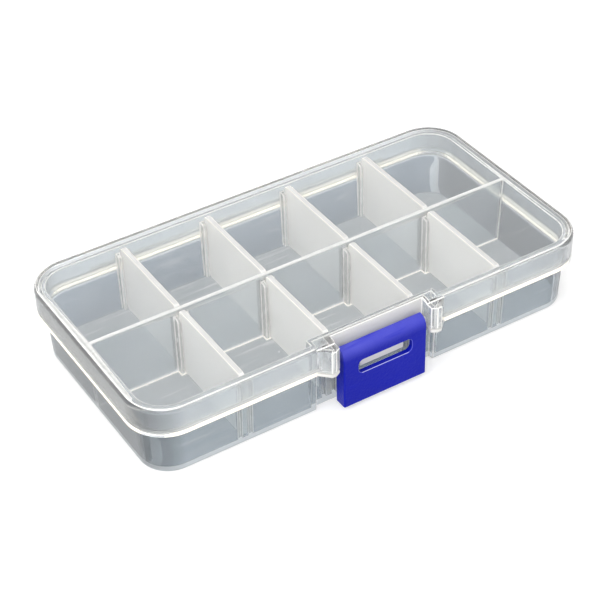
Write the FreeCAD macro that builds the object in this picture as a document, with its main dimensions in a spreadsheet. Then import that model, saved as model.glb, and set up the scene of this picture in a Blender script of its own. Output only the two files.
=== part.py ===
import FreeCAD, Part
import Sketcher
import os

# A clear compartment box with a hinged lid, lengths in millimetres. X runs along the length, Y from the
# latch at the front to the hinge at the back, and Z up from the face that the box stands on.

# Driving dimensions: name and length, one cell of the sheet each.
SIZES = (
    ("box_length", 128.0),
    ("box_depth", 66.0),
    ("box_height", 21.8),
    ("corner_radius", 10.5),
    ("lid_height", 7.4),
    ("edge_gap", 0.3),
    # Lid
    ("lid_plate", 1.1),
    ("lid_edge_round", 1.5),
    ("skirt_wall", 1.2),
    ("skirt_clearance", 0.6),
    ("rim_headroom", 0.4),
    ("ear_root_half", 18.4),
    ("ear_lean", 2.6),
    ("ear_tip", 1.6),
    ("ear_reach", 2.6),
    ("ear_tip_bevel", 0.8),
    ("recess_half", 13.2),
    # Base tray
    ("tray_wall", 1.1),
    ("tray_floor", 1.2),
    ("wall_draft", 0.8),
    ("foot_round", 0.8),
    ("flange", 0.9),
    ("centre_wall", 1.1),
    ("notch_half", 17.2),
    ("notch_depth", 2.3),
    ("tongue_half", 6.4),
    ("tongue_thickness", 2.1),
    ("tongue_drop", 1.4),
    ("tongue_gap", 0.3),
    # Ribs and dividers
    ("divider_pitch", 24.6),
    ("divider_thickness", 1.5),
    ("slot_clearance", 0.17),
    ("end_clearance", 0.25),
    ("floor_clearance", 0.1),
    ("divider_drop", 0.15),
    ("divider_round", 1.0),
    ("rib_thickness", 1.0),
    ("rib_reach", 1.8),
    ("rib_drop", 1.9),
    ("rib_round", 1.2),
    # Latch
    ("latch_side_gap", 1.2),
    ("latch_proud", 1.7),
    ("latch_round", 2.6),
    ("latch_drop", 3.1),
    ("latch_foot", 1.4),
    ("latch_front", 1.4),
    ("latch_side", 1.2),
    ("latch_back", 0.9),
    ("latch_top_flat", 0.2),
    ("latch_back_slope", 1.0),
    ("latch_edge_round", 0.4),
    ("pin_radius", 0.6),
    ("pin_clearance", 0.05),
    ("pin_bite", 0.4),
    ("window_half", 7.8),
    ("window_height", 4.0),
    ("window_lip", 0.6),
    ("window_round", 1.4),
    # Hinge web
    ("web_half", 45.0),
    ("web_film", 0.4),
    ("web_radius", 0.85),
    ("hinge_setback", 0.4),
    # How far a cut runs past what it cuts
    ("overrun", 1.0),
)

# How much of a wall a rib or a cross wall reaches into, so that they are one moulding
EMBED_SHARE = 0.2


class Size:
    """A length, kept both as a number and as the formula over the sheet's cells that gives it."""

    def __init__(self, value, formula):
        self.value = value
        self.formula = formula

    def __add__(self, other):
        return Size(self.value + value_of(other), f"({self.formula} + {formula_of(other)})")

    def __sub__(self, other):
        return Size(self.value - value_of(other), f"({self.formula} - {formula_of(other)})")

    def __mul__(self, share):
        return Size(self.value * share, f"({self.formula} * {share})")

    def __truediv__(self, share):
        return Size(self.value / share, f"({self.formula} / {share})")

    def __neg__(self):
        return Size(-self.value, f"(-1 * {self.formula})")


def value_of(size):
    return size.value if isinstance(size, Size) else size


def formula_of(size):
    return size.formula if isinstance(size, Size) else str(size)


def make_sheet(doc):
    """The sheet of driving dimensions, and each of them as a Size under its name."""
    sheet = doc.addObject("Spreadsheet::Sheet", "sizes")
    named = {}
    for row, (name, length) in enumerate(SIZES, start=1):
        sheet.set(f"A{row}", name)
        sheet.set(f"B{row}", str(length))
        sheet.setAlias(f"B{row}", name)
        named[name] = Size(length, f"sizes.{name}")
    return named


def bind(target, path, size):
    if isinstance(size, Size):
        target.setExpression(path, size.formula)


def sketch_on(body, name, role, lift=0, rise=0):
    """A sketch on one of the body's origin planes, lifted along its normal and moved up in the plane."""
    sketch = body.newObject("Sketcher::SketchObject", name)
    plane = next(feature for feature in body.Origin.OriginFeatures if feature.Role == role)
    sketch.AttachmentSupport = [(plane, "")]
    sketch.MapMode = "FlatFace"
    bind(sketch, "AttachmentOffset.Base.z", lift)
    bind(sketch, "AttachmentOffset.Base.y", rise)
    return sketch


def fix(sketch, kind, *reference, size):
    index = sketch.addConstraint(Sketcher.Constraint(kind, *reference, value_of(size)))
    bind(sketch, f"Constraints[{index}]", size)


def vector(u, v):
    return FreeCAD.Vector(value_of(u), value_of(v), 0)


def quarter_arc(start, end):
    """The convex quarter round from start to end of an outline that runs anticlockwise."""
    middle = (start + end) / 2
    half = (end - start) / 2
    outward = FreeCAD.Vector(half.y, -half.x, 0)
    centre = middle - outward
    radius = (start - centre).Length
    return Part.Arc(start, centre + outward.normalize() * radius, end)


def outline(sketch, corners):
    """A closed anticlockwise outline; a corner with a third size starts a quarter round of that radius."""
    first = sketch.GeometryCount
    count = len(corners)
    points = [vector(u, v) for u, v, *bend in corners]
    for side, (u, v, *bend) in enumerate(corners):
        start = points[side]
        end = points[(side + 1) % count]
        sketch.addGeometry(quarter_arc(start, end) if bend else Part.LineSegment(start, end))
    for side, (u, v, *bend) in enumerate(corners):
        after = first + (side + 1) % count
        sketch.addConstraint(Sketcher.Constraint("Coincident", first + side, 2, after, 1))
        fix(sketch, "DistanceX", -1, 1, first + side, 1, size=u)
        fix(sketch, "DistanceY", -1, 1, first + side, 1, size=v)
    for side, (u, v, *bend) in enumerate(corners):
        for radius in bend:
            fix(sketch, "Radius", first + side, size=radius)


def rectangle(sketch, left, right, low, high):
    outline(sketch, [(left, low), (right, low), (right, high), (left, high)])


def circle(sketch, u, v, radius):
    sketch.addGeometry(Part.Circle(vector(u, v), FreeCAD.Vector(0, 0, 1), value_of(radius)))
    fix(sketch, "DistanceX", -1, 1, 0, 3, size=u)
    fix(sketch, "DistanceY", -1, 1, 0, 3, size=v)
    fix(sketch, "Radius", 0, size=radius)


def rounded_rectangle(sketch, half_width, half_height, radius):
    """A rectangle about the sketch's origin with four equal corner arcs, which come before its sides."""
    first = sketch.GeometryCount
    arcs = [first, first + 1, first + 2, first + 3]
    sides = [first + 4, first + 5, first + 6, first + 7]
    width, height, bend = value_of(half_width), value_of(half_height), value_of(radius)
    ends = []
    for right, up in ((1, 1), (-1, 1), (-1, -1), (1, -1)):
        corner = FreeCAD.Vector(right * width, up * height, 0)
        along_height = corner - FreeCAD.Vector(0, up * bend, 0)
        along_width = corner - FreeCAD.Vector(right * bend, 0, 0)
        ends.append((along_height, along_width) if right == up else (along_width, along_height))
    for start, end in ends:
        sketch.addGeometry(quarter_arc(start, end))
    for number in range(4):
        sketch.addGeometry(Part.LineSegment(ends[number][1], ends[(number + 1) % 4][0]))
    for number in range(4):
        after = arcs[(number + 1) % 4]
        sketch.addConstraint(Sketcher.Constraint("Tangent", arcs[number], 2, sides[number], 1))
        sketch.addConstraint(Sketcher.Constraint("Tangent", sides[number], 2, after, 1))
        level = "Vertical" if number % 2 else "Horizontal"
        sketch.addConstraint(Sketcher.Constraint(level, sides[number]))
    for other in arcs[1:]:
        sketch.addConstraint(Sketcher.Constraint("Equal", arcs[0], other))
    fix(sketch, "Radius", arcs[0], size=radius)
    fix(sketch, "DistanceY", -1, 1, sides[0], 1, size=half_height)
    fix(sketch, "DistanceX", -1, 1, sides[1], 1, size=-half_width)
    fix(sketch, "DistanceY", -1, 1, sides[2], 1, size=-half_height)
    fix(sketch, "DistanceX", -1, 1, sides[3], 1, size=half_width)


def pad(body, name, sketch, length, both_sides=False):
    feature = body.newObject("PartDesign::Pad", name)
    feature.Profile = sketch
    feature.SideType = "Symmetric" if both_sides else "One side"
    bind(feature, "Length", length)
    return feature


def pocket(body, name, sketch, length, both_sides=False, along_normal=False):
    """A cut against the sketch's normal, or along it, that has to take some of the body away."""
    body.Document.recompute()
    before = body.Shape.Volume
    feature = body.newObject("PartDesign::Pocket", name)
    feature.Profile = sketch
    feature.SideType = "Symmetric" if both_sides else "One side"
    feature.Reversed = along_normal
    bind(feature, "Length", length)
    body.Document.recompute()
    if not body.Shape.Volume < before:
        raise RuntimeError(f"{name} cuts nothing")
    return feature


def lean(feature, spread, height):
    """Drafts a pad or pocket so that its outline spreads by that much over that height."""
    feature.setExpression("TaperAngle", f"atan({spread.formula} / {height.formula})")
    feature.Document.recompute()


def fillet(body, name, radius, chosen):
    """Rounds the edges of the body's last feature that the given test picks."""
    body.Document.recompute()
    base = body.Tip
    numbered = enumerate(base.Shape.Edges, start=1)
    edges = [f"Edge{number}" for number, edge in numbered if chosen(edge.BoundBox)]
    feature = body.newObject("PartDesign::Fillet", name)
    feature.Base = (base, edges)
    bind(feature, "Radius", radius)
    return feature


def axis(body, role):
    return next(feature for feature in body.Origin.OriginFeatures if feature.Role == role)


def row_pattern(body, name, originals, steps):
    """Copies along X in two steps, each a number of copies and the distance from the first to the last."""
    feature = body.newObject("PartDesign::LinearPattern", name)
    feature.Originals = originals
    feature.Mode = "Extent"
    feature.Direction = (axis(body, "X_Axis"), [""])
    feature.Occurrences = steps[0][0]
    bind(feature, "Length", steps[0][1])
    feature.Mode2 = "Extent"
    feature.Direction2 = (axis(body, "X_Axis"), [""])
    feature.Occurrences2 = steps[1][0]
    bind(feature, "Length2", steps[1][1])
    body.Tip = feature
    return feature


def mirrored(body, name, originals, role):
    feature = body.newObject("PartDesign::Mirrored", name)
    feature.Originals = originals
    feature.MirrorPlane = (axis(body, role), [""])
    body.Tip = feature
    return feature


def new_body(doc, label):
    body = doc.addObject("PartDesign::Body", label)
    body.Label = label
    return body


doc = FreeCAD.newDocument("parts_box")
size = make_sheet(doc)

# Sizes that several pieces share
half_length = size["box_length"] / 2
half_depth = size["box_depth"] / 2
parting_height = size["box_height"] - size["lid_height"]
flange_top = parting_height - size["edge_gap"] / 2
flange_low = flange_top - size["flange"]
skirt_low = parting_height + size["edge_gap"] / 2
lid_under = size["box_height"] - size["lid_plate"]
rim_top = lid_under - size["rim_headroom"]
rim_inset = size["skirt_wall"] + size["skirt_clearance"]
rim_half_length = half_length - rim_inset
rim_half_depth = half_depth - rim_inset
rim_radius = size["corner_radius"] - rim_inset
wall_embed = size["tray_wall"] * EMBED_SHARE
bay_half_length = rim_half_length - size["tray_wall"]
bay_half_depth = rim_half_depth - size["tray_wall"]
notch_outer = rim_half_depth - size["notch_depth"]
notch_inner = notch_outer - size["tray_wall"]
recess_inner = notch_outer + size["skirt_clearance"]
recess_outer = recess_inner + size["skirt_wall"]
ear_front = half_depth + size["ear_reach"]
ear_bend = size["ear_root_half"] - size["ear_lean"]
latch_half = size["recess_half"] - size["latch_side_gap"]
latch_face = half_depth + size["latch_proud"]
latch_top = size["box_height"] - size["latch_drop"]
pin_depth = latch_face - size["latch_round"]
pin_height = latch_top - size["latch_round"]
latch_inside = latch_face - size["latch_front"]
tongue_top = flange_low - size["tongue_drop"] + size["tongue_thickness"] / 2
tongue_low = tongue_top - size["tongue_thickness"]
tongue_reach = latch_inside - size["tongue_gap"]


def ear_outline(inner_depth, root_depth):
    """Plan of the right ear: out from the skirt at a slant, round a narrow tip and back to the recess."""
    return [
        (size["recess_half"], -inner_depth),
        (size["recess_half"], -(ear_front - size["ear_tip_bevel"])),
        (ear_bend - size["ear_tip"] + size["ear_tip_bevel"] / 2, -ear_front),
        (ear_bend, -ear_front),
        (size["ear_root_half"], -half_depth),
        (size["ear_root_half"], -root_depth),
    ]


def make_base_tray():
    """Floor, drafted walls, flange, centre wall, ribs, latch notch and catch tongue as one moulding."""
    body = new_body(doc, "base_tray")
    foot = sketch_on(body, "tray_foot", "XY_Plane")
    rounded_rectangle(
        foot,
        rim_half_length - size["wall_draft"],
        rim_half_depth - size["wall_draft"],
        rim_radius - size["wall_draft"],
    )
    lean(pad(body, "tray_block", foot, rim_top), size["wall_draft"], rim_top)
    foot_level = value_of(size["foot_round"])
    fillet(body, "tray_foot_edge", size["foot_round"], lambda box: box.ZMax < foot_level)

    bay_mouth = sketch_on(body, "bay_mouth", "XY_Plane", rim_top)
    rounded_rectangle(bay_mouth, bay_half_length, bay_half_depth, rim_radius - size["tray_wall"])
    bay_depth = rim_top - size["tray_floor"]
    lean(pocket(body, "bay", bay_mouth, bay_depth), -size["wall_draft"], rim_top)

    # The centre wall, and the jog of the front wall round the latch, stand on the floor
    wall_low = size["tray_floor"] * (1 - EMBED_SHARE)
    inner_walls = sketch_on(body, "inner_walls_plan", "XY_Plane", wall_low)
    wall_end = bay_half_length + wall_embed
    rectangle(inner_walls, -wall_end, wall_end, -size["centre_wall"] / 2, size["centre_wall"] / 2)
    jog_half = size["notch_half"] + size["tray_wall"]
    rectangle(inner_walls, -jog_half, jog_half, -(bay_half_depth + wall_embed), -notch_inner)
    pad(body, "inner_walls", inner_walls, rim_top - wall_low)
    notch = sketch_on(body, "notch_plan", "XY_Plane")
    notch_front = half_depth + size["overrun"]
    rectangle(notch, -size["notch_half"], size["notch_half"], -notch_front, -notch_outer)
    pocket(body, "notch", notch, rim_top + size["overrun"], along_normal=True)

    # The flange follows the lid's edge, ears included, and is open at the latch
    flange_plan = sketch_on(body, "flange_plan", "XY_Plane", flange_low)
    rounded_rectangle(flange_plan, half_length, half_depth, size["corner_radius"])
    rounded_rectangle(
        flange_plan,
        rim_half_length - size["tray_wall"] / 2,
        rim_half_depth - size["tray_wall"] / 2,
        rim_radius - size["tray_wall"] / 2,
    )
    pad(body, "flange", flange_plan, size["flange"])
    sill_plan = sketch_on(body, "sill_plan", "XY_Plane", flange_low)
    sill_half = size["notch_half"] + wall_embed
    rectangle(sill_plan, -sill_half, sill_half, -half_depth, -(notch_outer - wall_embed))
    pad(body, "sill", sill_plan, size["flange"])
    lug_plan = sketch_on(body, "flange_lug_plan", "XY_Plane", flange_low)
    outline(lug_plan, ear_outline(recess_outer, recess_outer))
    lug = pad(body, "flange_lug", lug_plan, size["flange"])
    mirrored(body, "flange_lugs", [lug], "YZ_Plane")
    latch_plan = sketch_on(body, "latch_opening_plan", "XY_Plane", flange_low - size["overrun"])
    rectangle(
        latch_plan, -size["recess_half"], size["recess_half"], -(ear_front + size["overrun"]), -recess_outer
    )
    opening_height = size["flange"] + size["overrun"] * 2
    pocket(body, "latch_opening", latch_plan, opening_height, along_normal=True)

    tongue_plan = sketch_on(body, "catch_tongue_plan", "XY_Plane", tongue_low)
    rectangle(
        tongue_plan, -size["tongue_half"], size["tongue_half"], -tongue_reach, -(notch_outer - wall_embed)
    )
    pad(body, "catch_tongue", tongue_plan, size["tongue_thickness"])

    # Rib pairs: one upright profile at each wall, copied to both sides of the slot and along the box
    slot = size["divider_thickness"] + size["slot_clearance"] * 2
    rib_top = rim_top - size["rib_drop"]
    outer_place = -(size["divider_pitch"] * 1.5 + slot / 2 + size["rib_thickness"])
    inner_place = -(size["divider_pitch"] * 0.5 + slot / 2 + size["rib_thickness"])
    pair_step = (2, slot + size["rib_thickness"])

    def rib_profile(sketch, root, tip, facing):
        ease = size["rib_round"]
        foot = [(tip, wall_low), (root, wall_low)]
        if facing < 0:
            outline(sketch, foot + [(root, rib_top), (tip + ease, rib_top, ease), (tip, rib_top - ease)])
        else:
            head = [(tip, rib_top - ease, ease), (tip - ease, rib_top), (root, rib_top)]
            outline(sketch, foot[::-1] + head)

    centre_face = size["centre_wall"] / 2
    wall_root = bay_half_depth + wall_embed
    wall_tip = bay_half_depth - size["rib_reach"]
    row = sketch_on(body, "rib_row_profile", "YZ_Plane", outer_place)
    rib_profile(row, wall_root, wall_tip, -1)
    rib_profile(row, centre_face - wall_embed, centre_face + size["rib_reach"], 1)
    rib_profile(row, -(centre_face - wall_embed), -(centre_face + size["rib_reach"]), -1)
    ribs = pad(body, "rib_row", row, size["rib_thickness"])
    row_pattern(body, "rib_rows", [ribs], (pair_step, (4, size["divider_pitch"] * 3)))
    front = sketch_on(body, "front_rib_profile", "YZ_Plane", outer_place)
    rib_profile(front, -wall_root, -wall_tip, 1)
    ribs = pad(body, "front_rib", front, size["rib_thickness"])
    row_pattern(body, "front_ribs", [ribs], (pair_step, (2, size["divider_pitch"] * 3)))
    jog = sketch_on(body, "jog_rib_profile", "YZ_Plane", inner_place)
    rib_profile(jog, -(notch_inner + wall_embed), -(notch_inner - size["rib_reach"]), 1)
    ribs = pad(body, "jog_rib", jog, size["rib_thickness"])
    row_pattern(body, "jog_ribs", [ribs], (pair_step, (2, size["divider_pitch"])))
    return body


def make_lid():
    """Top plate, skirt, latch recess and hollow ears with the latch's pins as one moulding."""
    body = new_body(doc, "lid")
    shell = sketch_on(body, "lid_plan", "XY_Plane", skirt_low)
    rounded_rectangle(shell, half_length, half_depth, size["corner_radius"])
    pad(body, "lid_block", shell, size["box_height"] - skirt_low)
    edge_level = value_of(size["box_height"] - size["lid_edge_round"])
    fillet(body, "lid_edge", size["lid_edge_round"], lambda box: box.ZMin > edge_level)
    inside = sketch_on(body, "lid_inside_plan", "XY_Plane", skirt_low)
    rounded_rectangle(
        inside,
        half_length - size["skirt_wall"],
        half_depth - size["skirt_wall"],
        size["corner_radius"] - size["skirt_wall"],
    )
    pocket(body, "lid_inside", inside, lid_under - skirt_low, along_normal=True)

    # The recess: its back and side walls stand inside the skirt, then the front is opened for the latch
    side_half = size["recess_half"] + size["skirt_wall"]
    skirt_inner = half_depth - size["skirt_wall"]
    recess_walls = sketch_on(body, "recess_walls_plan", "XY_Plane", skirt_low)
    rectangle(recess_walls, -side_half, side_half, -(skirt_inner + size["skirt_wall"] / 2), -recess_inner)
    pad(body, "recess_walls", recess_walls, size["box_height"] - size["lid_plate"] / 2 - skirt_low)
    ear_plan = sketch_on(body, "ear_plan", "XY_Plane", skirt_low)
    outline(ear_plan, ear_outline(recess_outer, skirt_inner))
    ear_height = size["box_height"] - size["lid_edge_round"] / 2 - skirt_low
    ear = pad(body, "ear", ear_plan, ear_height)
    mirrored(body, "ears", [ear], "YZ_Plane")
    recess = sketch_on(body, "recess_plan", "XY_Plane", skirt_low - size["overrun"])
    rectangle(
        recess, -size["recess_half"], size["recess_half"], -(ear_front + size["overrun"]), -recess_outer
    )
    recess_height = size["box_height"] - skirt_low + size["overrun"] * 2
    pocket(body, "recess", recess, recess_height, along_normal=True)

    # Each ear is hollow from below, with the skirt's wall all round
    hollow_plan = sketch_on(body, "ear_hollow_plan", "XY_Plane", skirt_low)
    slant = size["skirt_wall"] * 2 ** 0.5
    outline(
        hollow_plan,
        [
            (side_half, -recess_outer),
            (side_half, -(ear_front - size["skirt_wall"])),
            (ear_bend - slant / 2, -(ear_front - size["skirt_wall"])),
            (size["ear_root_half"] - slant, -half_depth),
            (size["ear_root_half"] - slant, -recess_outer),
        ],
    )
    hollow = pocket(body, "ear_hollow", hollow_plan, lid_under - skirt_low, along_normal=True)
    mirrored(body, "ear_hollows", [hollow], "YZ_Plane")

    pin_end = latch_half - size["latch_side"] - size["pin_bite"]
    pin_plan = sketch_on(body, "pin_profile", "YZ_Plane", pin_end)
    circle(pin_plan, -pin_depth, pin_height, size["pin_radius"])
    pin = pad(body, "pin", pin_plan, size["recess_half"] + size["skirt_wall"] / 2 - pin_end)
    mirrored(body, "pins", [pin], "YZ_Plane")
    return body


def make_latch():
    """The rocker: a channel rounded about its pins, with a hole for each and a window for the tongue."""
    body = new_body(doc, "latch")
    back = -(pin_depth - size["latch_back"])
    top_end = -(pin_depth - size["latch_top_flat"])
    profile = sketch_on(body, "latch_profile", "YZ_Plane")
    outline(
        profile,
        [
            (-latch_face, size["latch_foot"]),
            (back, size["latch_foot"]),
            (back, pin_height + size["latch_back_slope"]),
            (top_end, latch_top),
            (-pin_depth, latch_top, size["latch_round"]),
            (-latch_face, pin_height),
        ],
    )
    pad(body, "latch_block", profile, latch_half * 2, both_sides=True)
    front_level = -latch_face.value + size["latch_edge_round"].value
    fillet(
        body,
        "latch_edges",
        size["latch_edge_round"],
        lambda box: box.YMax < front_level and box.XLength < latch_half.value,
    )
    inside = sketch_on(body, "latch_inside_profile", "YZ_Plane")
    rectangle(
        inside,
        -latch_inside,
        back + size["overrun"],
        size["latch_foot"] - size["overrun"],
        latch_top - size["latch_front"],
    )
    inside_width = (latch_half - size["latch_side"]) * 2
    pocket(body, "latch_inside", inside, inside_width, both_sides=True)
    hole = sketch_on(body, "pin_hole_profile", "YZ_Plane")
    circle(hole, -pin_depth, pin_height, size["pin_radius"] + size["pin_clearance"])
    pocket(body, "pin_holes", hole, (latch_half + size["overrun"]) * 2, both_sides=True)
    window_low = tongue_low - size["window_lip"]
    window = sketch_on(body, "window_plan", "XZ_Plane", latch_face, window_low + size["window_height"] / 2)
    rounded_rectangle(window, size["window_half"], size["window_height"] / 2, size["window_round"])
    pocket(body, "window", window, size["latch_front"] + size["overrun"])
    return body


def make_hinge_web():
    """The film that bends round the back of the parting line, from the flange's edge up to the skirt's."""
    body = new_body(doc, "hinge_web")
    bend = half_depth + size["hinge_setback"]

    def loop(name, radius):
        sketch = sketch_on(body, name, "YZ_Plane")
        outline(
            sketch,
            [
                (half_depth, parting_height - radius),
                (bend, parting_height - radius, radius),
                (bend + radius, parting_height, radius),
                (bend, parting_height + radius),
                (half_depth, parting_height + radius),
            ],
        )
        return sketch

    pad(body, "web_block", loop("web_outside", size["web_radius"]), size["web_half"] * 2, both_sides=True)
    inside = loop("web_inside", size["web_radius"] - size["web_film"])
    pocket(body, "web_loop", inside, (size["web_half"] + size["overrun"]) * 2, both_sides=True)
    return body


def make_divider(label, place, foot_end, top_end, turned):
    """A loose plate that stands in four ribs, between the centre wall and an outer wall."""
    body = new_body(doc, label)
    profile = sketch_on(body, f"{label}_profile", "YZ_Plane")
    near = size["centre_wall"] / 2 + size["end_clearance"]
    low = size["tray_floor"] + size["floor_clearance"]
    high = rim_top - size["divider_drop"]
    ease = size["divider_round"]
    outline(
        profile,
        [
            (near, low),
            (foot_end - ease, low, ease),
            (foot_end, low + ease),
            (top_end, high - ease, ease),
            (top_end - ease, high),
            (near + ease, high, ease),
            (near, high - ease),
        ],
    )
    pad(body, f"{label}_plate", profile, size["divider_thickness"], both_sides=True)
    body.Placement = FreeCAD.Placement(
        FreeCAD.Vector(place.value, 0, 0), FreeCAD.Rotation(FreeCAD.Vector(0, 0, 1), 180 if turned else 0)
    )
    bind(body, "Placement.Base.x", place)
    return body


pieces = [make_base_tray(), make_lid(), make_hinge_web(), make_latch()]
bay_end = bay_half_depth - size["end_clearance"]
jog_end = notch_inner - size["end_clearance"]
for number, step_share in enumerate((-1.5, -0.5, 0.5, 1.5), start=1):
    place = size["divider_pitch"] * step_share
    by_latch = abs(step_share) < 1
    front_foot = jog_end if by_latch else bay_end - size["wall_draft"]
    front_top = jog_end if by_latch else bay_end
    back_foot = bay_end - size["wall_draft"]
    pieces.append(make_divider(f"divider_back_{number}", place, back_foot, bay_end, False))
    pieces.append(make_divider(f"divider_front_{number}", place, front_foot, front_top, True))

doc.recompute()
for thing in doc.Objects:
    if "Invalid" in thing.State or "Error" in thing.State:
        raise RuntimeError(f"{thing.Name} did not build: {thing.State}")
for piece in pieces:
    if piece.Shape.isNull() or not piece.Shape.isValid():
        raise RuntimeError(f"{piece.Label} has no valid shape")

os.makedirs("parts", exist_ok=True)
for piece in pieces:
    piece.Shape.exportStep(os.path.join("parts", f"{piece.Label}.step"))
    print(piece.Label, len(piece.Shape.Solids), round(piece.Shape.Volume, 1))
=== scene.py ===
import math

import bmesh
import bpy
from mathutils import Matrix, Vector


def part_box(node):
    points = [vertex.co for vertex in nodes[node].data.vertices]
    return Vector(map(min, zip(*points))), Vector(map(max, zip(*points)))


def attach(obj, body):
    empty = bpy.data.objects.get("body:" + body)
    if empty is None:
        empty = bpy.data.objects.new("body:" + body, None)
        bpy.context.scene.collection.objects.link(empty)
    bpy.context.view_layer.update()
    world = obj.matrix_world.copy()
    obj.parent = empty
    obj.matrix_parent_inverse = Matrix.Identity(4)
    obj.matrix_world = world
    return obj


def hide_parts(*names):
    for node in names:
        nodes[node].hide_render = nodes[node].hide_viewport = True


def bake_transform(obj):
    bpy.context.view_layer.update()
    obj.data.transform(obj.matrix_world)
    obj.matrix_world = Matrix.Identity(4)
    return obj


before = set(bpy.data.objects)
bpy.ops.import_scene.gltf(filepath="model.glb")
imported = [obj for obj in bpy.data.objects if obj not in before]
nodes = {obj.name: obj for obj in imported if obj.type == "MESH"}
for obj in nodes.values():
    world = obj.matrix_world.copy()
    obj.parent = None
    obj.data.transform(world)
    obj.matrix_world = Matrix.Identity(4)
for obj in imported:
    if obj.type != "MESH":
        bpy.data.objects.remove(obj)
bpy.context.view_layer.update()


# Base tray: the deep half of the box, one moulding of clear polypropylene with its flange, centre
# wall and rib pairs. The thin walls are faintly hazy, and wherever the plastic is seen end on it
# turns milky white.
def plastic_group():
    """Moulded plastic in object coordinates: a cloudy tint, darkened towards the box's ends by
    painted shade, with flow streaks and specks, and the height of a rippled skin."""
    group = bpy.data.node_groups.new("moulded_plastic", "ShaderNodeTree")
    sockets = (
        ("Tint", "INPUT", "NodeSocketColor"),
        ("Cloud", "INPUT", "NodeSocketColor"),
        ("Cloud share", "INPUT", "NodeSocketFloat"),
        ("Smooth", "INPUT", "NodeSocketFloat"),
        ("Rough", "INPUT", "NodeSocketFloat"),
        ("End shade share", "INPUT", "NodeSocketFloat"),
        ("Grain", "INPUT", "NodeSocketFloat"),
        ("Colour", "OUTPUT", "NodeSocketColor"),
        ("Roughness", "OUTPUT", "NodeSocketFloat"),
        ("Height", "OUTPUT", "NodeSocketFloat"),
    )
    for label, side, kind in sockets:
        group.interface.new_socket(label, in_out=side, socket_type=kind)
    make, link = group.nodes.new, group.links.new
    given, result = make("NodeGroupInput").outputs, make("NodeGroupOutput").inputs
    place = make("ShaderNodeTexCoord").outputs["Object"]

    def noise(where, detail, scale=1.0):
        node = make("ShaderNodeTexNoise")
        node.inputs["Scale"].default_value = scale
        node.inputs["Detail"].default_value = detail
        link(where, node.inputs["Vector"])
        return node

    def levels(value, start, end, at_start=0.0, at_end=1.0):
        node = make("ShaderNodeMapRange")
        node.inputs["From Min"].default_value = start
        node.inputs["From Max"].default_value = end
        node.inputs["To Min"].default_value = at_start
        node.inputs["To Max"].default_value = at_end
        link(value, node.inputs["Value"])
        return node

    def combine(operation, *values):
        node = make("ShaderNodeMath")
        node.operation = operation
        for socket, value in zip(node.inputs, values):
            link(value, socket)
        return node.outputs["Value"]

    def mix(share, first, second, way):
        node = make("ShaderNodeMix")
        node.data_type = "RGBA"
        node.blend_type = way
        for socket, value in ((0, share), (6, first), (7, second)):
            link(value, node.inputs[socket])
        return node.outputs[2]

    cloud = noise(place, detail=4, scale=55).outputs["Fac"]
    cloudy = levels(cloud, start=0.35, end=0.7).outputs["Result"]
    clouds = combine("MULTIPLY", cloudy, given["Cloud share"])
    speck = make("ShaderNodeTexVoronoi")
    speck.inputs["Scale"].default_value = 150
    link(place, speck.inputs["Vector"])
    specks = levels(speck.outputs["Distance"], start=0.055, end=0.025).outputs["Result"]
    flow = make("ShaderNodeMapping")
    flow.inputs["Scale"].default_value = (60, 900, 300)
    flow.inputs["Rotation"].default_value = (0, 0, 0.35)
    link(place, flow.inputs["Vector"])
    streak = noise(flow.outputs["Vector"], detail=3).outputs["Fac"]
    streaks = levels(streak, start=0.56, end=0.76, at_end=0.6).outputs["Result"]
    marks = combine("MAXIMUM", combine("MAXIMUM", clouds, streaks), specks)
    marked = mix(marks, given["Tint"], given["Cloud"], "MIX")

    # Painted shade: the colour is darkened towards both ends of the box, by the share given for the
    # ends.
    along = make("ShaderNodeSeparateXYZ")
    link(place, along.inputs["Vector"])
    out_from_middle = combine("ABSOLUTE", along.outputs["X"])
    unshaded_middle = levels(out_from_middle, start=0.053, end=0.062, at_start=1.0, at_end=0.0)
    shaded_ends = mix(given["End shade share"], marked, unshaded_middle.outputs["Result"], "MULTIPLY")
    link(shaded_ends, result["Colour"])

    rough = levels(streak, start=0.4, end=0.75)
    link(given["Smooth"], rough.inputs["To Min"])
    link(given["Rough"], rough.inputs["To Max"])
    link(rough.outputs["Result"], result["Roughness"])

    ripple = noise(place, detail=2)
    link(given["Grain"], ripple.inputs["Scale"])
    link(ripple.outputs["Fac"], result["Height"])
    return group


moulded = plastic_group()
gathered_light = (1, 0.93, 0.8, 1)


def plastic(
    name, tint, cloud, cloud_share, roughness, transmission, ripple=0.05, grain=160.0,
    end_shade_share=0.0, glow=0.0, glow_tint=gathered_light,
):
    """A Principled material whose tint, roughness and bump come from the moulded plastic group.
    A weak glow stands for light that runs along inside the plastic and leaves there."""
    material = bpy.data.materials.new(name)
    material.use_nodes = True
    tree = material.node_tree
    shader = tree.nodes["Principled BSDF"]
    surface = tree.nodes.new("ShaderNodeGroup")
    surface.node_tree = moulded
    settings = {
        "Tint": tint, "Cloud": cloud, "Cloud share": cloud_share, "Smooth": roughness[0],
        "Rough": roughness[1], "End shade share": end_shade_share, "Grain": grain,
    }
    for label, value in settings.items():
        surface.inputs[label].default_value = value
    bump = tree.nodes.new("ShaderNodeBump")
    bump.inputs["Strength"].default_value = ripple
    bump.inputs["Distance"].default_value = 0.0002
    tree.links.new(surface.outputs["Height"], bump.inputs["Height"])
    tree.links.new(surface.outputs["Colour"], shader.inputs["Base Color"])
    tree.links.new(surface.outputs["Roughness"], shader.inputs["Roughness"])
    tree.links.new(bump.outputs["Normal"], shader.inputs["Normal"])
    shader.inputs["IOR"].default_value = 1.4
    shader.inputs["Transmission Weight"].default_value = transmission
    if glow:
        shader.inputs["Emission Color"].default_value = glow_tint
        shader.inputs["Emission Strength"].default_value = glow
    return material


tongue_wall = -0.0289
weld, in_plane = 1e-6, 2e-5
flat_angle, sharp_angle = 0.01, 0.5
near_largest = 0.98


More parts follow.
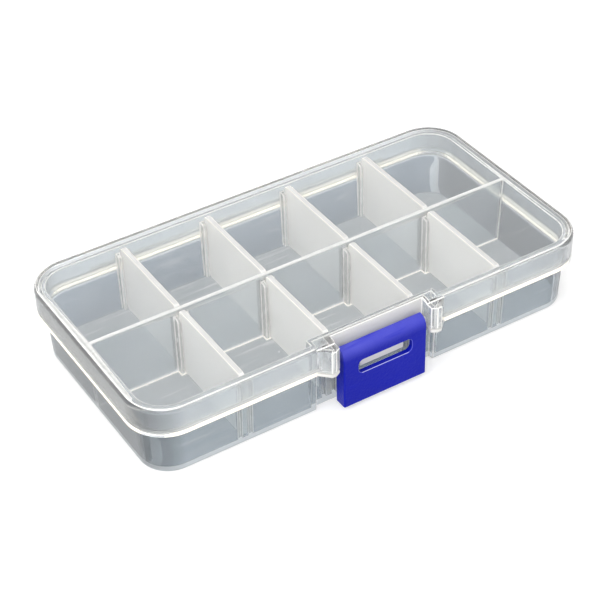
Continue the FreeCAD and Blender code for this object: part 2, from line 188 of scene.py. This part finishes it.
def even_normal(corner):
    """The normal of the largest faces round a corner, so that flats stay flat and eased edges
    turn between them."""
    areas = {face: face.calc_area() for face in corner.link_faces}
    least = near_largest * max(areas.values())
    return sum((face.normal for face, area in areas.items() if area > least), Vector()).normalized()


def moulding(name, body, finishes, ease, finish_of, left_sharp=None, tint_level=None):
    """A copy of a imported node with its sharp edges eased, each face finished by its place and by
    being an edge. The wall round the tongue keeps its triangles, because it has a hole."""
    solid = bmesh.new()
    solid.from_mesh(nodes[name].data)
    bmesh.ops.remove_doubles(solid, verts=solid.verts, dist=weld)
    plain = [
        line for line in solid.edges
        if any(abs(end.co.y - tongue_wall) > in_plane for end in line.verts)
    ]
    bmesh.ops.dissolve_limit(solid, angle_limit=flat_angle, verts=[], edges=plain)
    sharp = [line for line in solid.edges if line.calc_face_angle(0) > sharp_angle]
    if left_sharp:
        sharp = [line for line in sharp if not left_sharp(line)]
    eased = bmesh.ops.bevel(
        solid, geom=sharp, offset=ease, offset_type="OFFSET", segments=2, profile=0.5,
        affect="EDGES", material=-1, clamp_overlap=False
    )
    edge_faces = set(eased["faces"])
    for face in solid.faces:
        face.smooth = True
        face.material_index = int(face in edge_faces)
    solid.normal_update()
    turned = solid.verts.layers.float_vector.new("turned")
    for corner in solid.verts:
        corner[turned] = even_normal(corner)
    bmesh.ops.triangulate(solid, faces=[face for face in solid.faces if len(face.verts) > 4])
    if tint_level is not None:
        everything = solid.verts[:] + solid.edges[:] + solid.faces[:]
        bmesh.ops.bisect_plane(
            solid, geom=everything, plane_co=(0, 0, tint_level), plane_no=(0, 0, 1)
        )
    for face in solid.faces:
        finish = finish_of(face.calc_center_median(), face.material_index == 1)
        face.material_index = finishes.index(finish)
    normals = [corner[turned].normalized() for corner in solid.verts]
    solid.verts.layers.float_vector.remove(turned)
    mesh = bpy.data.meshes.new(name + "_moulding")
    solid.to_mesh(mesh)
    solid.free()
    for leftover in ("custom_normal", "sharp_face"):
        if leftover in mesh.attributes:
            mesh.attributes.remove(mesh.attributes[leftover])
    mesh.normals_split_custom_set_from_vertices(normals)
    for finish in finishes:
        mesh.materials.append(finish)
    piece = bpy.data.objects.new(name + "_moulding", mesh)
    bpy.context.scene.collection.objects.link(piece)
    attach(piece, body)
    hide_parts(name)


# Painted shade: the outer walls' tint is darkened towards both ends of the box.
clear_tray = plastic(
    "clear_tray", (0.63, 0.69, 0.74, 1), (0.84, 0.87, 0.9, 1), cloud_share=0.2,
    roughness=(0.05, 0.12), transmission=0.86, end_shade_share=0.65,
)
milky_edge = plastic(
    "milky_edge", (0.97, 0.96, 0.93, 1), (0.93, 0.93, 0.91, 1), cloud_share=0.3,
    roughness=(0.25, 0.4), transmission=0.1,
)
# Painted shade: the floor plate's dark tint stands for the shade that lies under the box.
shaded_floor = plastic(
    "shaded_floor", (0.31, 0.355, 0.38, 1), (0.78, 0.79, 0.8, 1), cloud_share=0.15,
    roughness=(0.05, 0.15), transmission=0.94,
)
clear_centre = plastic(
    "clear_centre", (0.87, 0.92, 0.95, 1), (0.94, 0.95, 0.96, 1), cloud_share=0.2,
    roughness=(0.08, 0.2), transmission=0.74,
)
# Painted shade: the back wall below the flange gets this darker tint.
shaded_back_wall = plastic(
    "shaded_back_wall", (0.29, 0.34, 0.39, 1), (0.62, 0.64, 0.66, 1), cloud_share=0.15,
    roughness=(0.05, 0.12), transmission=0.92,
)
milky_rib = plastic(
    "milky_rib", (0.95, 0.94, 0.91, 1), (0.92, 0.92, 0.9, 1), cloud_share=0.3,
    roughness=(0.15, 0.3), transmission=0.45,
)
# Painted glow: a faint glow on the tray's flange, the centre wall's foot, the dividers' eased edges
# and the lid's back edge line.
lit_edge = plastic(
    "lit_edge", (1, 0.97, 0.9, 1), (0.96, 0.94, 0.88, 1), cloud_share=0.3,
    roughness=(0.4, 0.55), transmission=0.5, glow=0.32,
)
# On the dividers' tops this darker milky finish is painted shade.
milky_flat = plastic(
    "milky_flat", (0.78, 0.77, 0.75, 1), (0.84, 0.83, 0.81, 1), cloud_share=0.4,
    roughness=(0.3, 0.45), transmission=0.06, ripple=0.15,
)
rim_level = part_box("base_tray")[1].z - 0.0001
floor_level = 0.0013
floor_seam = (0.0011, 0.0021)
flange_band = (0.01315, 0.01445)
# Below this level the back wall takes its painted shade.
tint_level = 0.01305
wall_reach = (0.0623, 0.0313)
bay_reach = (0.0597, 0.0277)
catch_half, catch_face, catch_foot = 0.027, -0.0285, 0.0106
centre_foot, centre_half = -0.003, 0.002
slot_places = (0.0123, 0.0369)
rib_reach = (0.00197, 0.00195)
rib_root = 0.02935
rib_walls = (0.0296, 0.0015, -0.0015, -0.0273, -0.0296)


def tray_finish(place, edge):
    """Milky where the plastic ends, a painted glow along the flange and at the centre wall's foot,
    painted shade as darker tints on the floor plate and back wall, own tints for the other walls."""
    outside = abs(place.x) > wall_reach[0] or abs(place.y) > wall_reach[1]
    flange = outside and flange_band[0] < place.z < flange_band[1]
    catch = catch_foot < place.z < flange_band[1] and place.y < catch_face
    seam = floor_seam[0] < place.z < floor_seam[1] and not outside
    if catch and abs(place.x) < catch_half:
        return milky_flat
    # Painted glow on the flange and on one side of the centre wall's foot.
    if flange or (edge and seam and centre_foot < place.y < 0):
        return lit_edge
    if (edge and not seam) or (place.z > rim_level and abs(place.y) < centre_half):
        return milky_edge
    # Painted shade: the floor plate and the edges at the floor seam take the dark floor tint.
    if place.z < floor_level or edge:
        return shaded_floor
    from_slot = min(abs(abs(place.x) - slot) for slot in slot_places)
    from_wall = min(abs(place.y - wall) for wall in rib_walls)
    if from_slot < rib_reach[0] and from_wall < rib_reach[1] and abs(place.y) < rib_root:
        return milky_rib
    if place.z > tint_level:
        return clear_centre
    # Painted shade: the back wall below the flange.
    if place.y > bay_reach[1]:
        return shaded_back_wall
    inner = abs(place.x) < bay_reach[0] and place.y > -bay_reach[1]
    return clear_centre if inner else clear_tray


moulding(
    "base_tray", "base",
    (
        clear_tray, milky_edge, shaded_floor, clear_centre, shaded_back_wall, milky_rib, lit_edge,
        milky_flat,
    ),
    ease=0.00025, finish_of=tray_finish, tint_level=tint_level,
)


# Dividers: eight loose plates of milky polypropylene that slide down between the rib pairs. Hardly
# any light passes straight through them; a painted glow makes their edges whiter than their faces.
# Painted glow: a faint glow lightens the dividers' milky faces.
milky = plastic(
    "milky_divider", (0.97, 0.96, 0.93, 1), (0.99, 0.985, 0.96, 1), cloud_share=0.4,
    roughness=(0.3, 0.45), transmission=0.06, ripple=0.15, glow=0.07, glow_tint=(1, 0.98, 0.94, 1),
)
divider_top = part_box("divider_back_1")[1].z - 0.00005


def divider_finish(place, edge):
    """A painted glow on the eased edges, painted shade dulling the top between them, and milky
    faces.
    """
    if edge:
        return lit_edge
    return milky_flat if place.z > divider_top else milky


for number in (1, 2, 3, 4):
    for row in ("back", "front"):
        name = f"divider_{row}_{number}"
        moulding(
            name, name, (milky, lit_edge, milky_flat),
            ease=0.0002, finish_of=divider_finish,
        )


# Lid: the shallow half, clear polypropylene again, with a rounded edge, a recess for the latch and
# two hollow ears that carry the latch's pins. Its plate is the clearest part of the box and has
# light scuffs.
clear_lid = plastic(
    "clear_lid", (0.985, 0.99, 0.995, 1), (0.98, 0.98, 0.98, 1), cloud_share=0.2,
    roughness=(0.02, 0.07), transmission=0.97, ripple=0.04,
)
# Painted shade: the skirt's tint is darkened towards both ends of the box.
hazy_skirt = plastic(
    "hazy_skirt", (0.86, 0.89, 0.915, 1), (0.95, 0.955, 0.96, 1), cloud_share=0.3,
    roughness=(0.04, 0.12), transmission=0.81, end_shade_share=0.5,
)
skirt_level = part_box("lid")[0].z + 0.0001
lid_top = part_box("lid")[1].z
plate_drop, ear_drop, ear_foot = 0.0014, 0.0002, 0.0004
# Painted glow on a line along the lid's back edge, and a painted highlight as a milky line along
# the rounded edge.
back_face, back_glow_line = 0.0305, (0.00012, 0.00046)
edge_highlight_line = (0.00028, 0.00033)
ear_reach, ear_face = (0.0165, 0.0265), -0.0285
recess_back = (-0.0315, -0.02)


def lid_finish(place, edge):
    """Milky at the skirt's lower end and behind the latch, a painted highlight as a thin milky line
    along the rounded edge, a painted glow on a line along its back, hazy on the skirt and ears,
    clear on top."""
    drop = lid_top - place.z
    if place.y > back_face and back_glow_line[0] < drop < back_glow_line[1]:
        return lit_edge
    ear = ear_reach[0] < abs(place.x) < ear_reach[1] and place.y < ear_face
    if ear and drop > ear_drop and place.z > skirt_level + ear_foot:
        return hazy_skirt
    if edge or place.z < skirt_level or edge_highlight_line[0] < drop < edge_highlight_line[1]:
        return milky_edge
    if drop < plate_drop:
        return clear_lid
    recess = abs(place.x) < ear_reach[0] and recess_back[0] < place.y < recess_back[1]
    return milky_rib if recess else hazy_skirt


seam_place, seam_reach, seam_foot = (0.0184, -0.033), 0.0006, 0.02


def ear_seam(line):
    """The short seam where an ear runs into the lid's rounded edge."""
    place = sum((end.co for end in line.verts), Vector()) / 2
    near = max(abs(abs(place.x) - seam_place[0]), abs(place.y - seam_place[1])) < seam_reach
    return near and place.z > seam_foot


moulding(
    "lid", "lid", (clear_lid, milky_edge, hazy_skirt, lit_edge, milky_rib),
    ease=0.0002, finish_of=lid_finish, left_sharp=ear_seam,
)


# Hinge: the thin film that the two halves are moulded with, clear polypropylene, bent round behind
# the parting line.
# Painted glow: the hinge film glows faintly though no lamp lights it.
film_clear = plastic(
    "clear_hinge", (0.86, 0.87, 0.87, 1), (0.93, 0.93, 0.92, 1), cloud_share=0.4,
    roughness=(0.15, 0.3), transmission=0.7, glow=0.3,
)
film_low, film_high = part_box("hinge_web")
film_thickness = 0.0004
bend_radius = (film_high.z - film_low.z - film_thickness) / 2
bend_centre = Vector(
    (0, film_high.y - film_thickness / 2 - bend_radius, (film_low.z + film_high.z) / 2)
)
film = bmesh.new()
start = film.verts.new((film_low.x, film_low.y, bend_centre.z - bend_radius))
turn = film.verts.new((film_low.x, bend_centre.y, bend_centre.z - bend_radius))
film.edges.new((start, turn))
arc = bmesh.ops.spin(
    film, geom=[turn], cent=bend_centre, axis=(1, 0, 0), angle=math.pi, steps=24, use_merge=False
)["geom_last"]
tail = film.verts.new((film_low.x, film_low.y, bend_centre.z + bend_radius))
film.edges.new((arc[0], tail))
across = Vector((film_high.x - film_low.x, 0, 0))
strip = bmesh.ops.extrude_edge_only(film, edges=film.edges[:])["geom"]
far_side = [part for part in strip if isinstance(part, bmesh.types.BMVert)]
bmesh.ops.translate(film, verts=far_side, vec=across)
bmesh.ops.recalc_face_normals(film, faces=film.faces)
for face in film.faces:
    face.smooth = True
film_mesh = bpy.data.meshes.new("hinge_film")
film.to_mesh(film_mesh)
film.free()
film_mesh.materials.append(film_clear)
hinge_film = bpy.data.objects.new("hinge_film", film_mesh)
bpy.context.scene.collection.objects.link(hinge_film)
skin = hinge_film.modifiers.new("film_thickness", "SOLIDIFY")
skin.thickness = film_thickness
skin.offset = 0
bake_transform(hinge_film)
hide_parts("hinge_web")


# Latch: a rocker of solid royal blue polypropylene that clips over the catch tongue and turns on
# the lid's pins. Its skin is satin with a fine moulded grain, with a painted highlight lightening
# the rounded top and painted highlights on its eased edges.
deep_blue, highlight_blue = (0.002, 0.007, 0.36, 1), (0.08, 0.085, 0.51, 1)
blue = plastic(
    "blue_latch", deep_blue, (0.006, 0.012, 0.43, 1), cloud_share=0.5, roughness=(0.28, 0.4),
    transmission=0.0, ripple=0.4, grain=1600.0,
)
# Painted highlight: a lighter blue on the latch's eased edges.
blue_edge_highlight = plastic(
    "blue_edge_highlight", (0.08, 0.09, 0.6, 1), (0.14, 0.15, 0.66, 1), cloud_share=0.5,
    roughness=(0.28, 0.42), transmission=0.0, ripple=0.1,
)
# Painted glint: a bright pale blue on the lip below the window.
blue_lip_glint = plastic(
    "blue_lip_glint", (0.45, 0.45, 0.8, 1), (0.5, 0.5, 0.82, 1), cloud_share=0.5,
    roughness=(0.28, 0.42), transmission=0.0, ripple=0.1,
)
blue.node_tree.nodes["Principled BSDF"].inputs["Specular IOR Level"].default_value = 0.2
latch_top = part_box("latch")[1].z
# Painted highlight: the tint lightens from the face up over the rounded top.
make, link = blue.node_tree.nodes.new, blue.node_tree.links.new
place = make("ShaderNodeTexCoord")
upright = make("ShaderNodeSeparateXYZ")
link(place.outputs["Object"], upright.inputs["Vector"])
top_highlight = make("ShaderNodeMapRange")
top_highlight.interpolation_type = "SMOOTHSTEP"
top_highlight.inputs["From Min"].default_value = latch_top - 0.0036
top_highlight.inputs["From Max"].default_value = latch_top - 0.0004
link(upright.outputs["Z"], top_highlight.inputs["Value"])
tone = make("ShaderNodeMix")
tone.data_type = "RGBA"
tone.inputs[6].default_value = deep_blue
tone.inputs[7].default_value = highlight_blue
link(top_highlight.outputs["Result"], tone.inputs[0])
link(tone.outputs[2], blue.node_tree.nodes["Group"].inputs["Tint"])
latch_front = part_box("latch")[0].y + 0.0003
window_half, window_sill, lip_reach = 0.0068, 0.0103, 0.0003


def latch_finish(place, edge):
    """Painted highlights: lighter blue on the eased edges, and a bright painted glint on the lip
    below the window.
    """
    if not edge:
        return blue
    below_window = abs(place.x) < window_half and abs(place.z - window_sill) < lip_reach
    return blue_lip_glint if below_window and place.y < latch_front else blue_edge_highlight


moulding(
    "latch", "latch", (blue, blue_edge_highlight, blue_lip_glint),
    ease=0.00012, finish_of=latch_finish,
)


# Studio: a pale floor that keeps the box's shadow, a white surround and three large soft lamps,
# which aren't mirrored in the lid. The floor lies a hair above the tray's underside, so that the
# two don't share one plane.
def seen_share(tree):
    """One for rays that see a thing straight on, mirrored or through clear plastic, or nought."""
    ray = tree.nodes.new("ShaderNodeLightPath")
    share = ray.outputs["Is Camera Ray"]
    for kind in ("Is Glossy Ray", "Is Transmission Ray"):
        either = tree.nodes.new("ShaderNodeMath")
        either.operation = "MAXIMUM"
        tree.links.new(share, either.inputs[0])
        tree.links.new(ray.outputs[kind], either.inputs[1])
        share = either.outputs["Value"]
    return share


floor_half, floor_lift, floor_glow = 0.8, 0.0001, 0.44
floor_mesh = bpy.data.meshes.new("floor")
sheet = bmesh.new()
bmesh.ops.create_grid(
    sheet, x_segments=1, y_segments=1, size=floor_half,
    matrix=Matrix.Translation((0, 0, floor_lift))
)
sheet.to_mesh(floor_mesh)
sheet.free()
floor = bpy.data.objects.new("floor", floor_mesh)
bpy.context.scene.collection.objects.link(floor)
floor_paint = bpy.data.materials.new("pale_floor")
floor_paint.use_nodes = True
tree = floor_paint.node_tree
tree.nodes.remove(tree.nodes["Principled BSDF"])
matt = tree.nodes.new("ShaderNodeBsdfDiffuse")
matt.inputs["Color"].default_value = (0.62, 0.62, 0.62, 1)
glow = tree.nodes.new("ShaderNodeEmission")
part_glow = tree.nodes.new("ShaderNodeMath")
part_glow.operation = "MULTIPLY"
part_glow.inputs[1].default_value = floor_glow
tree.links.new(seen_share(tree), part_glow.inputs[0])
tree.links.new(part_glow.outputs["Value"], glow.inputs["Strength"])
both = tree.nodes.new("ShaderNodeAddShader")
tree.links.new(matt.outputs["BSDF"], both.inputs[0])
tree.links.new(glow.outputs["Emission"], both.inputs[1])
tree.links.new(both.outputs["Shader"], tree.nodes["Material Output"].inputs["Surface"])
floor_mesh.materials.append(floor_paint)

world = bpy.data.worlds.new("white_room")
bpy.context.scene.world = world
world.use_nodes = True
tree = world.node_tree
level = tree.nodes.new("ShaderNodeMapRange")
level.inputs["To Min"].default_value = 0.55
level.inputs["To Max"].default_value = 1.0
tree.links.new(seen_share(tree), level.inputs["Value"])
tree.links.new(level.outputs["Result"], tree.nodes["Background"].inputs["Strength"])
tree.nodes["Background"].inputs["Color"].default_value = (1, 1, 1, 1)


def lamp(name, place, size, power):
    """A round area lamp, aimed at the box."""
    data = bpy.data.lights.new(name, "AREA")
    data.shape = "DISK"
    data.size = size
    data.energy = power
    light = bpy.data.objects.new(name, data)
    light.visible_glossy = False
    light.location = place
    light.rotation_euler = (-Vector(place)).to_track_quat("-Z", "Y").to_euler()
    bpy.context.scene.collection.objects.link(light)


lamp("key", (-0.66, -0.42, 0.76), size=1.3, power=12.0)
lamp("fill", (0.4, -0.7, 0.75), size=1.2, power=2.0)
lamp("rim", (0.1, 0.6, 0.9), size=0.45, power=3.0)


# Camera: the photograph's own angle, above the front left corner, with a long lens and a slight
# roll.
azimuth, elevation, roll = math.radians(-31.2), math.radians(38.29), math.radians(-1.714)
target, distance = Vector((-0.00405, -0.00232, 0.01)), 0.432
back = Vector((
    math.sin(azimuth) * math.cos(elevation),
    -math.cos(azimuth) * math.cos(elevation),
    math.sin(elevation),
))
level_right = Vector((math.cos(azimuth), math.sin(azimuth), 0))
level_up = back.cross(level_right)
right = math.cos(roll) * level_right + math.sin(roll) * level_up
up = math.cos(roll) * level_up - math.sin(roll) * level_right
facing = Matrix((right, up, back)).transposed().to_4x4()
lens = bpy.data.cameras.new("camera")
lens.lens = 102.43
lens.sensor_width = 36
lens.clip_start = 0.01
camera = bpy.data.objects.new("camera", lens)
camera.matrix_world = Matrix.Translation(target + back * distance) @ facing
bpy.context.scene.collection.objects.link(camera)
bpy.context.scene.camera = camera
bpy.context.scene.view_settings.view_transform = "Standard"
